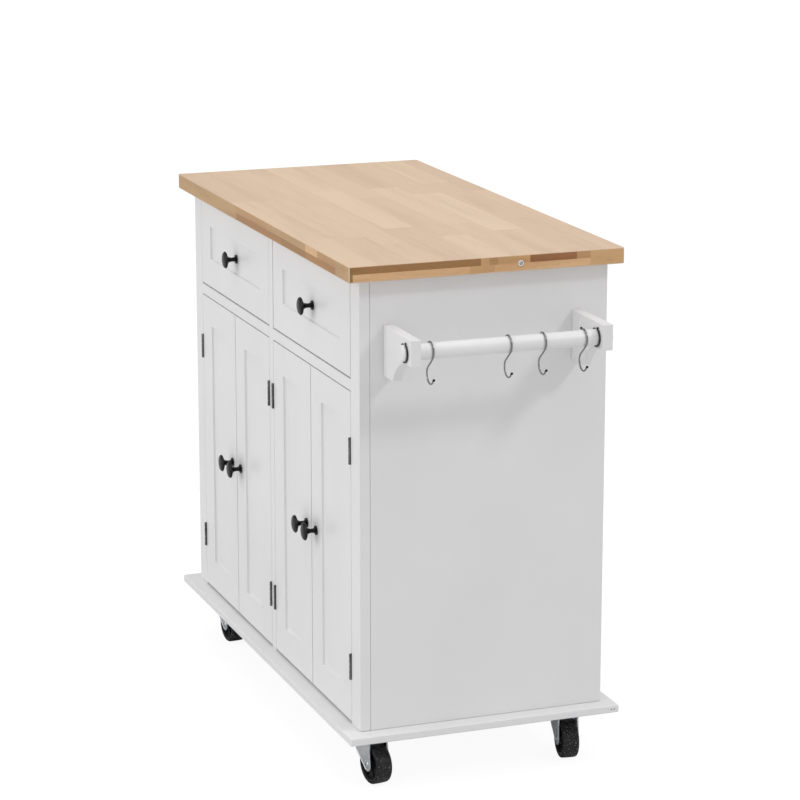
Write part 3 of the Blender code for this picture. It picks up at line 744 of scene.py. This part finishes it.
def make_fronts(screw):
    knob = knob_mesh(knob_place("door_knob_1")[1])
    fronts = [(f"drawer_front_{word}", f"drawer_knob_{word}", f"drawer_{word}") for _, word in SIDES]
    fronts += [(f"door_{number}", f"door_knob_{number}", f"door_{number}") for number in range(1, 5)]
    for node, knob_node, body in fronts:
        lo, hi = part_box(node)
        painted(node + "_painted", panelled_front(lo, hi), body, node, sharp=40)
        at, _ = knob_place(knob_node)
        fit(knob_node + "_coated", knob, body, "black_knob", [knob_node], at, flats=False)
        if body.startswith("door"):
            fasten(f"knob_screw_{node[-1]}", screw, [(at.x, hi.y, at.z)], body, (0, 1, 0))


def make_drawer_boxes(screw):
    """Four walls and a let-in bottom for each drawer."""
    wall, floor = 12 * MM, 4 * MM
    for _, word in SIDES:
        lo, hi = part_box(f"drawer_box_{word}")
        floor_z = lo.z + 8 * MM
        parts = [board(lo, (lo.x + wall, hi.y, hi.z), 0.6 * MM),
                 board((hi.x - wall, lo.y, lo.z), hi, 0.6 * MM),
                 board((lo.x + wall, lo.y, lo.z), (hi.x - wall, lo.y + wall, hi.z), 0.6 * MM),
                 board((lo.x + wall, hi.y - wall, lo.z), (hi.x - wall, hi.y, hi.z), 0.6 * MM),
                 board((lo.x + wall / 2, lo.y + wall / 2, floor_z - floor),
                       (hi.x - wall / 2, hi.y - wall / 2, floor_z), 0.3 * MM)]
        name = f"drawer_box_{word}_joined"
        fit(name, shaped(gathered(parts), name, LAMINATE), f"drawer_{word}", "drawer_laminate",
            [f"drawer_box_{word}"])
        level = lo.z + 60 * MM
        places = [(x, lo.y + wall, level) for x in (lo.x + 60 * MM, hi.x - 60 * MM)]
        fasten(f"drawer_screws_{word}", screw, places, f"drawer_{word}", (0, 1, 0))


def make_runners():
    """L-shaped guides at both sides of each drawer box."""
    ledge, reach = 8 * MM, 14 * MM
    for side, word in SIDES:
        for place_word, facing in (("outer", -side), ("inner", side)):
            node = f"drawer_runner_{word}_{place_word}"
            lo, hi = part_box(node)
            wall, tip = (lo.x, hi.x) if facing > 0 else (hi.x, lo.x)
            face = tip - facing * reach
            outline = [(wall, lo.z), (wall, hi.z), (face, hi.z), (face, lo.z + ledge), (tip, lo.z + ledge),
                       (tip, lo.z)]
            fit(node + "_sanded", shaped(prism(outline, "Y", lo.y, hi.y), node + "_sanded", RUNNER_WOOD),
                "cabinet", "runner_wood", [node], soften=0.7 * MM)


# ---------------------------------------------------------------- hinges and catches

def hinge_meshes(height):
    """Frame half and door half of a butt hinge, on the pin's axis; the leaves run to +Y."""
    knuckle = height / KNUCKLES
    slit = 0.45 * MM
    halves = {}
    for word, side, turns in (("frame", -1, (0, 2, 4)), ("door", 1, (1, 3))):
        x0, x1 = sorted((side * 0.1 * MM, side * (0.1 * MM + LEAF_T)))
        parts = [board((x0, BARREL_R * 0.6, -height / 2), (x1, LEAF_DEPTH, height / 2), 0.1 * MM, 1)]
        for turn in turns:
            z0 = -height / 2 + turn * knuckle + slit
            z1 = z0 + knuckle - 2 * slit
            lip = 0.25 * MM
            tube = [(0.0, z0), (BARREL_R - lip, z0), (BARREL_R, z0 + lip), (BARREL_R, z1 - lip),
                    (BARREL_R - lip, z1), (0.0, z1)]
            parts.append(turned([(r, -z) for r, z in tube], 24, axis="Z"))
        if word == "frame":
            pin_r, end = BARREL_R * 0.55, height / 2
            pin = [(0.0, -end), (pin_r * 0.7, -end), (pin_r, 0.3 * MM - end), (pin_r, end - 0.3 * MM),
                   (pin_r * 0.7, end), (0.0, end)]
            parts.append(turned([(r, -z) for r, z in pin], 20, axis="Z"))
        halves[word] = shaped(gathered(parts), f"hinge_{word}_half", DARK_STEEL)
    return halves


def leaf_screws(name, pin, side, spots, body):
    """Countersunk heads in a hinge leaf, each a low disc with a slot."""
    parts = []
    head_r, proud = 2.1 * MM, 0.08 * MM
    for y, z in spots:
        disc = turned([(0.0, 0.0), (head_r, 0.0), (head_r - 0.1 * MM, proud), (0.0, proud)], 24, axis="X")
        slot = board((-0.01, -head_r * 0.8, -0.25 * MM), (0.01, head_r * 0.8, 0.25 * MM), 0.0)
        shifted(slot, (0.01 + proud * 0.4, 0.0, 0.0))
        disc = carved(disc, slot)
        if side > 0:
            half_turned(disc, 'Z')
        parts.append(shifted(disc, (pin.x + side * 0.1 * MM, pin.y + y, z)))
    fit(name, shaped(gathered(parts), name, ZINC), body, "hinge_steel", flats=False)


def make_hinges():
    lo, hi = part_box("hinge_1_upper")
    height = hi.z - lo.z
    halves = hinge_meshes(height)
    for number in range(1, 5):
        pin = Vector(JOINTS[f"door_{number}_hinge"]["pos_m"])
        door_side = 1 if number in (1, 3) else -1
        for level in ("upper", "lower"):
            node = f"hinge_{number}_{level}"
            lo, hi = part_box(node)
            middle_z = (lo.z + hi.z) / 2
            place = Matrix.Translation((pin.x, pin.y, middle_z))
            if door_side < 0:
                place = place @ Matrix.Scale(-1.0, 4, (1, 0, 0))
            for word, body in (("frame", "cabinet"), ("door", f"door_{number}")):
                mesh = halves[word].copy()
                mesh.transform(place)
                if door_side < 0:
                    mesh.flip_normals()
                stands_for = [node] if word == "frame" else []
                fit(f"{node}_{word}_half", mesh, body, "hinge_steel", stands_for, flats=False)
                side = -door_side if word == "frame" else door_side
                spots = [(9.0 * MM, middle_z + offset) for offset in (-12 * MM, 12 * MM)]
                leaf_screws(f"{node}_{word}_screws", pin, side, spots, body)


def make_catches():
    for side, word in SIDES:
        node = f"magnetic_catch_{word}"
        lo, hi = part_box(node)
        middle = (lo.x + hi.x) / 2
        shell = board(lo, hi, 2.0 * MM, 4)
        poles = [board((x - 7 * MM, lo.y + 2 * MM, lo.z - 1.2 * MM),
                       (x + 7 * MM, lo.y + 7 * MM, lo.z + 3 * MM), 0.4 * MM)
                 for x in (middle - 11 * MM, middle + 11 * MM)]
        body = gathered([shell] + poles, [0, 1, 1])
        fit(f"{node}_moulded", shaped(body, node, CATCH_WHITE, ZINC), "cabinet", "catch_plastic", [node])
        for number in (1, 2) if side < 0 else (3, 4):
            door_lo, door_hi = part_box(f"door_{number}")
            x = door_hi.x - 22 * MM if number in (1, 3) else door_lo.x + 22 * MM
            strike = board((x - 9 * MM, door_hi.y, lo.z - 10 * MM),
                           (x + 9 * MM, door_hi.y + 0.2 * MM, lo.z + 6 * MM), 0.08 * MM, 1)
            fit(f"door_strike_{number}", shaped(strike, "door_strike", ZINC), f"door_{number}", "hinge_steel")


def make_shelf_pins():
    """Four bent pins under each shelf."""
    for side, word in SIDES:
        shelf_lo, shelf_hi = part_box(f"shelf_{word}")
        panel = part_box(f"side_panel_{word}")
        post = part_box("centre_partition")
        walls = (panel[1].x, post[0].x) if side < 0 else (post[1].x, panel[0].x)
        pins = []
        for wall, inward in zip(walls, (1, -1)):
            for y in (shelf_lo.y + 40 * MM, shelf_hi.y - 40 * MM):
                x0, x1 = sorted((wall, wall + inward * 12 * MM))
                plate = board((x0, y - 4 * MM, shelf_lo.z - 1.5 * MM),
                              (x1, y + 4 * MM, shelf_lo.z - 0.1 * MM), 0.3 * MM)
                stem = turned([(0.0, 0.0), (2.4 * MM, 0.0), (2.4 * MM, 9 * MM), (1.9 * MM, 9.6 * MM),
                               (0.0, 9.6 * MM)], 20, axis="X")
                if inward < 0:
                    half_turned(stem, 'Z')
                shifted(stem, (wall, y, shelf_lo.z - 3.9 * MM))
                pins += [plate, stem]
        fit(f"shelf_pins_{word}", shaped(gathered(pins), "shelf_pins", ZINC), "cabinet", "zinc_steel",
            flats=False)


def make_back_screws(screw):
    lo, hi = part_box("back_panel")
    places = []
    inset = 12 * MM
    columns = [lo.x + inset + (hi.x - lo.x - 2 * inset) * step / 4 for step in range(5)]
    rows = [lo.z + inset + (hi.z - lo.z - 2 * inset) * step / 4 for step in range(5)]
    for x in columns:
        for z in rows:
            if x in (columns[0], columns[2], columns[-1]) or z in (rows[0], rows[-1]):
                places.append((x, hi.y, z))
    small = screw.copy()
    small.transform(Matrix.Scale(0.5, 4))
    fasten("back_screws", small, places, "cabinet", (0, 1, 0))


# ---------------------------------------------------------------- casters

def fork_mesh(wheel_r, trail, crown_z):
    """The stamped yoke with rolled rims, and its axle; the swivel axis is Z at the origin."""
    inner = WHEEL_W / 2 + 1.5 * MM
    outer = inner + FORK_T
    under = crown_z - CROWN_T
    foot = wheel_r - 12 * MM
    bend = 3.5 * MM
    left = arc((-outer + bend, crown_z - bend), bend, 180, 90, 5)
    right = [(-y, z) for y, z in reversed(left)]
    inner_bend = 1.5 * MM
    inside_right = arc((inner - inner_bend, under - inner_bend), inner_bend, 90, 0, 4)
    inside_left = [(-y, z) for y, z in reversed(inside_right)]
    channel = left + right + [(outer, foot), (inner, foot)] + list(reversed(inside_right)) \
        + list(reversed(inside_left)) + [(-inner, foot), (-outer, foot)]
    folded = prism(channel, "X", -0.05, 0.08)
    boss_at, boss_r = (trail + 2 * MM, wheel_r), 9.5 * MM
    crown_low, leg_top, knee = 71 * MM, 66.5 * MM, 50 * MM
    crown_rear, crown_front = -21 * MM, 35.5 * MM
    leg_rear, leg_front = -9.5 * MM, 33.5 * MM
    boss = arc(boss_at, boss_r, -125, 5, 12)
    edge = [(crown_rear, crown_z + 0.01), (crown_rear, crown_low)]
    edge += arc((leg_rear - 5 * MM, leg_top - 3 * MM), 5 * MM, 70, 0, 4)
    edge += [(leg_rear, knee)] + arc((leg_rear + 6 * MM, knee), 6 * MM, 180, 215, 3)
    edge += boss + [(leg_front, leg_top), (crown_front, crown_low), (crown_front, crown_z + 0.01)]
    yoke = carved(folded, prism(edge, "Y", -0.05, 0.05), 'INTERSECT')
    parts = [yoke]
    rim_path = [(x, z) for x, z in edge if z < crown_low + 0.1 * MM]
    for y in (-outer, outer):
        side = -1 if y < 0 else 1
        centre_line = [Vector((x, y - side * 0.5 * MM, z)) for x, z in rim_path]
        middle = Vector((0.013, y, 0.054))
        inwards = [point + (middle - point).normalized() * 0.9 * MM for point in centre_line]
        parts.append(swept(inwards, [1.15 * MM] * len(inwards), 10))
        emboss = turned([(0.0, 0.0), (6.2 * MM, 0.0), (5.2 * MM, 0.9 * MM), (0.0, 0.9 * MM)], 32)
        if side < 0:
            half_turned(emboss, 'X')
        parts.append(shifted(emboss, (trail, y - side * 0.1 * MM, wheel_r)))
        rivet = [(0.0, 0.0), (AXLE_R * 1.5, 0.0)] + arc((AXLE_R * 1.25, 0.9 * MM), AXLE_R * 0.25, 0, 180, 6)
        rivet += [(AXLE_R * 0.95, 0.3 * MM), (AXLE_R * 0.5, 0.3 * MM), (0.0, 0.9 * MM)]
        button = turned(rivet, 28)
        # painted shade: the middle of each rivet head takes dark steel, darkening its dimple
        for face in button.faces:
            middle = face.calc_center_median()
            face.material_index = int(math.hypot(middle.x, middle.z) < AXLE_R and middle.y > 0.1 * MM)
        if side < 0:
            half_turned(button, 'X')
        parts.append(shifted(button, (trail, y + side * 0.3 * MM, wheel_r)))
    parts.append(shifted(drum(AXLE_R, -outer, outer, 24), (trail, 0.0, wheel_r)))
    pin_r = 5.5 * MM
    kingpin = turned([(0.0, 0.0), (pin_r, 0.0), (pin_r, 1.0 * MM), (pin_r * 0.6, 2.0 * MM),
                      (0.0, 2.3 * MM)], 32, axis="Z")
    parts.append(shifted(kingpin, (0.0, 0.0, under)))
    return shaped(gathered(parts), "caster_fork", ZINC, DARK_STEEL)


def wheel_mesh(radius):
    """A tyre with a crowned tread, a stepped side and a hub."""
    half = WHEEL_W / 2
    bore = AXLE_R + CLEAR
    side = [(bore, half - 1.2 * MM), (6.5 * MM, half - 1.2 * MM), (7.2 * MM, half - 1.9 * MM),
            (9.2 * MM, half - 1.9 * MM), (10.2 * MM, half - 4.4 * MM), (14 * MM, half - 5.2 * MM),
            (22 * MM, half - 4.6 * MM), (22.8 * MM, half - 3.4 * MM), (23.6 * MM, half - 0.9 * MM),
            (24.4 * MM, half - 0.2 * MM), (25.4 * MM, half), (27.6 * MM, half)]
    shoulder = arc((radius - 3.6 * MM, half - 3.4 * MM), 3.4 * MM, 75, 12, 6)
    side += [(r, y) for r, y in shoulder]
    side.append((radius - 0.12 * MM, half * 0.55))
    side.append((radius - 0.02 * MM, half * 0.2))
    profile = side + [(r, -y) for r, y in reversed(side)]
    bm = turned(profile, 72, closed=True)
    for face in bm.faces:
        centre = face.calc_center_median()
        face.material_index = int(math.hypot(centre.x, centre.z) > radius - 1.6 * MM)
    spokes = []
    for sign in (-1, 1):
        for step in range(6):
            rib = board((9 * MM, half - 5.4 * MM, -0.8 * MM), (22.6 * MM, half - 3.2 * MM, 0.8 * MM),
                        0.3 * MM)
            bmesh.ops.scale(rib, vec=(1, sign, 1), verts=rib.verts)
            bmesh.ops.recalc_face_normals(rib, faces=rib.faces)
            bmesh.ops.rotate(rib, verts=rib.verts, matrix=Matrix.Rotation(math.radians(60 * step), 3, 'Y'))
            spokes.append(rib)
    return shaped(gathered([bm] + spokes), "caster_wheel", WHEEL_BLACK, TREAD, sharp=32.0)


def plate_mesh(lo, hi):
    """The mounting plate and the dished ball race below it, centred on the swivel axis."""
    half = (hi.x - lo.x) / 2
    corner = 5 * MM
    outline = []
    for sx, sy, start in ((1, 1, 0), (-1, 1, 90), (-1, -1, 180), (1, -1, 270)):
        outline += arc((sx * (half - corner), sy * (half - corner)), corner, start, start + 90, 5)
    plate = prism(outline, "Z", hi.z - PLATE_T, hi.z)
    top, drop = hi.z - PLATE_T + 0.4 * MM, hi.z - PLATE_T - lo.z + 0.4 * MM
    race = [(0.0, 0.0), (21 * MM, 0.0), (20.6 * MM, drop * 0.35), (19.6 * MM, drop * 0.48),
            (19.9 * MM, drop * 0.56), (20.4 * MM, drop * 0.7), (19.0 * MM, drop * 0.95), (17.5 * MM, drop),
            (0.0, drop)]
    dish = shifted(half_turned(turned(race, 48, axis="Z"), 'X'), (0.0, 0.0, top))
    return shaped(gathered([plate, dish]), "caster_plate", ZINC)


def make_casters(screw):
    plate_lo, plate_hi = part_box("caster_plate_front_left")
    swivel = Vector(JOINTS["caster_front_left_swivel"]["pos_m"])
    wheel_at = Vector(JOINTS["caster_front_left_roll"]["pos_m"])
    trail = (wheel_at - swivel).to_2d().length
    wheel_r = wheel_at.z
    crown_z = plate_lo.z - CLEAR
    plate = plate_mesh(plate_lo, plate_hi)
    fork = fork_mesh(wheel_r, trail, crown_z)
    wheel = wheel_mesh(wheel_r)
    bolt_at = (plate_hi.x - plate_lo.x) / 2 - 7.5 * MM
    for word in CORNERS:
        swivel = Vector(JOINTS[f"caster_{word}_swivel"]["pos_m"])
        wheel_at = Vector(JOINTS[f"caster_{word}_roll"]["pos_m"])
        turn = math.atan2(wheel_at.y - swivel.y, wheel_at.x - swivel.x)
        upright = Matrix.Translation((swivel.x, swivel.y, 0.0)) @ Matrix.Rotation(turn, 4, 'Z')
        fit(f"caster_plate_{word}_zinc", plate, "cabinet", "zinc_steel", [f"caster_plate_{word}"],
            Vector((swivel.x, swivel.y, 0.0)), soften=0.3 * MM)
        fit(f"caster_fork_{word}_zinc", fork, f"caster_{word}_fork", "zinc_steel", [f"caster_fork_{word}"],
            upright, soften=0.35 * MM)
        fit(f"caster_wheel_{word}_moulded", wheel, f"caster_{word}_wheel", "wheel_plastic",
            [f"caster_wheel_{word}"], Matrix.Translation(wheel_at) @ Matrix.Rotation(turn, 4, 'Z'),
            flats=False)
        places = [(swivel.x + sx * bolt_at, swivel.y + sy * bolt_at, plate_hi.z - PLATE_T)
                  for sx in (-1, 1) for sy in (-1, 1)]
        fasten(f"caster_screws_{word}", screw, places, "cabinet", (0, 0, -1))


# ---------------------------------------------------------------- towel rail and hooks

def make_rail():
    rod_lo, rod_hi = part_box("towel_rod")
    rod_r = (rod_hi.z - rod_lo.z) / 2
    rod_at = Vector(((rod_lo.x + rod_hi.x) / 2, 0.0, (rod_lo.z + rod_hi.z) / 2))
    end = rod_hi.y
    chamfer = 2.5 * MM
    half = [(0.0, end), (rod_r - chamfer - 0.4 * MM, end)] + arc((rod_r - chamfer - 0.3 * MM, end - 0.6 * MM),
                                                                0.6 * MM, 80, 45, 2)
    half += arc((rod_r - 0.8 * MM, end - chamfer - 0.3 * MM), 0.8 * MM, 45, 0, 3)
    profile = half + [(r, -y) for r, y in reversed(half)]
    painted("towel_rod_painted", turned(profile, 64), "cabinet", "towel_rod", at=rod_at, flats=False)

    for word in ("front", "rear"):
        node = f"rail_bracket_{word}"
        lo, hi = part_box(node)
        foot_end, cove_x = lo.x + BRACKET_FOOT, hi.x - BRACKET_TIP
        run, rise = cove_x - foot_end, BRACKET_ARM_Z - lo.z
        radius = (run * run + rise * rise) / (2 * rise)
        start = math.degrees(math.acos(-run / radius))
        outline = [(lo.x, hi.z), (lo.x, lo.z)] + arc((cove_x, BRACKET_ARM_Z - radius), radius, start, 90, 24)
        outline += [(hi.x, BRACKET_ARM_Z), (hi.x, hi.z)]
        hole = drum(rod_r + CLEAR, -0.3, 0.3, 64)
        bored = carved(prism(outline, "Y", lo.y, hi.y), shifted(hole, rod_at))
        painted(node + "_painted", bored, "cabinet", node, soften=1.1 * MM)

    ring_r = rod_r + CLEAR + RING_WIRE_R
    eye_r, eye_wire = 1.7 * MM, 0.9 * MM
    for word in ("front", "rear"):
        node = f"retaining_ring_{word}"
        lo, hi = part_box(node)
        path = [(x, 0.0, z) for x, z in arc((0.0, 0.0), ring_r, RING_START, RING_START - 360 + RING_OPEN, 48)]
        radii = [RING_WIRE_R] * len(path)
        radii[0] = radii[-1] = RING_WIRE_R * 0.7
        eye_at = arc((0.0, 0.0), ring_r + eye_r * 0.8, RING_START + 6, RING_START, 1)[0]
        eye = [(x, 0.0, z) for x, z in arc(eye_at, eye_r, RING_START + 180, RING_START - 160, 18)]
        wire = gathered([swept(path, radii, 14), swept(eye, [eye_wire] * len(eye), 10)])
        at = Vector((rod_at.x, (lo.y + hi.y) / 2, rod_at.z))
        fit(node + "_coated", shaped(wire, node, RING_BLACK), "cabinet", "ring_wire", [node], at, flats=False)
    return rod_r


def ball_tip(tip, before, centre):
    """Points and radii of a ball on the end of a wire, turned half way out from the arc's centre."""
    onward = (tip - before).normalized()
    way = (onward + (tip - centre).normalized()).normalized()
    middle = 2.6 * MM
    points, radii = [], []
    for step in range(9):
        angle = math.radians(35 + 145 * step / 8)
        points.append(tip + way * (middle - HOOK_BALL_R * math.cos(angle)))
        radii.append(max(HOOK_BALL_R * math.sin(angle), 0.05 * MM))
    return points, radii


def hook_mesh(rod_r, upper_tip):
    """An S of two arcs and the straight line that touches both, with a ball at each tip."""
    upper_r = rod_r + CLEAR + WIRE_R
    reach = upper_r + HOOK_LOOP_R
    straight = math.sqrt(HOOK_DROP ** 2 - reach ** 2)
    lean = math.degrees(math.atan2(reach, straight))
    upper = arc((0.0, 0.0), upper_r, 180 - upper_tip, -lean, 30)
    lower = arc((0.0, -HOOK_DROP), HOOK_LOOP_R, 180 - lean, 360 - HOOK_TIP, 30)
    path = [Vector((x, 0.0, z)) for x, z in upper + lower]
    start_points, start_radii = ball_tip(path[0], path[1], Vector((0.0, 0.0, 0.0)))
    end_points, end_radii = ball_tip(path[-1], path[-2], Vector((0.0, 0.0, -HOOK_DROP)))
    radii = list(reversed(start_radii)) + [WIRE_R] * len(path) + end_radii
    path = list(reversed(start_points)) + path + end_points
    return shaped(swept(path, radii, 14, dark_ends=len(end_points)), "s_hook", HOOK_STEEL, BLACK, sharp=60.0)


def make_hooks(rod_r):
    for number in range(1, 5):
        hook = hook_mesh(rod_r, HOOK_UPPER_TIP[number])
        at = Vector(JOINTS[f"hook_{number}_swing"]["pos_m"])
        fit(f"s_hook_{number}_plated", hook, f"hook_{number}", "hook_wire", [f"s_hook_{number}"], at,
            flats=False)


# ---------------------------------------------------------------- studio

def make_floor():
    """A pale floor that gives back less light to the cart than it shows."""
    bm = bmesh.new()
    bmesh.ops.create_grid(bm, x_segments=1, y_segments=1, size=30.0)
    material, tree, shader, coords = start_material("studio_floor", Roughness=0.9, Specular_IOR_Level=0.0)
    tone = noise(tree, coords, 1.5, 2.0)
    seen = add(tree, "LightPath").outputs["Is Camera Ray"]
    given_back = ramp(tree, tone, ((0.3, (0.67, 0.67, 0.67)), (0.7, (0.69, 0.69, 0.69))))
    feed(tree, shader.inputs["Base Color"], blend_colour(tree, seen, given_back, (0.12, 0.12, 0.12, 1.0)))
    shader.inputs["Emission Color"].default_value = (1.0, 1.0, 1.0, 1.0)
    feed(tree, shader.inputs["Emission Strength"], maths(tree, 'MULTIPLY', seen, 0.92))
    floor = bpy.data.objects.new("studio_floor", shaped(bm, "studio_floor", material))
    bpy.context.scene.collection.objects.link(floor)


def make_sun(name, energy, towards, angle):
    """A sun that shines along a direction; its angle in degrees softens its shadows."""
    lamp = bpy.data.lights.new(name, 'SUN')
    lamp.energy = energy
    lamp.angle = math.radians(angle)
    sun = bpy.data.objects.new(name, lamp)
    bpy.context.scene.collection.objects.link(sun)
    sun.rotation_euler = Vector(towards).to_track_quat('-Z', 'Y').to_euler()


def make_studio():
    make_floor()
    world = bpy.data.worlds.new("studio")
    bpy.context.scene.world = world
    world.use_nodes = True
    tree = world.node_tree
    seen = add(tree, "LightPath").outputs["Is Camera Ray"]
    strength = spread(tree, seen, 0.55, 1.0)
    feed(tree, tree.nodes["Background"].inputs["Strength"], strength)
    tree.nodes["Background"].inputs["Color"].default_value = (1.0, 1.0, 1.0, 1.0)
    make_sun("key_from_behind", 0.65, (-0.55, -0.62, -0.75), 9)
    make_sun("fill_on_front", 0.85, (0.03, 0.95, -0.32), 50)
    make_sun("overhead", 0.85, (0.05, 0.05, -1.0), 60)
    bpy.context.scene.view_settings.view_transform = 'Standard'


def make_camera():
    data = bpy.data.cameras.new("camera")
    data.lens = LENS
    data.sensor_width = 36.0
    data.clip_end = 100.0
    camera = bpy.data.objects.new("camera", data)
    bpy.context.scene.collection.objects.link(camera)
    camera.location = CAMERA_AT
    camera.rotation_euler = (math.radians(90 - CAMERA_DOWN), 0.0, math.radians(CAMERA_TURN))
    bpy.context.scene.camera = camera


# ---------------------------------------------------------------- the cart

make_camera()
pan_screw = screw_mesh()
make_worktop()
make_boards()
make_face_frame()
make_fronts(pan_screw)
make_drawer_boxes(pan_screw)
make_runners()
make_hinges()
make_catches()
make_shelf_pins()
make_back_screws(pan_screw)
make_casters(pan_screw)
make_hooks(make_rail())
make_studio()
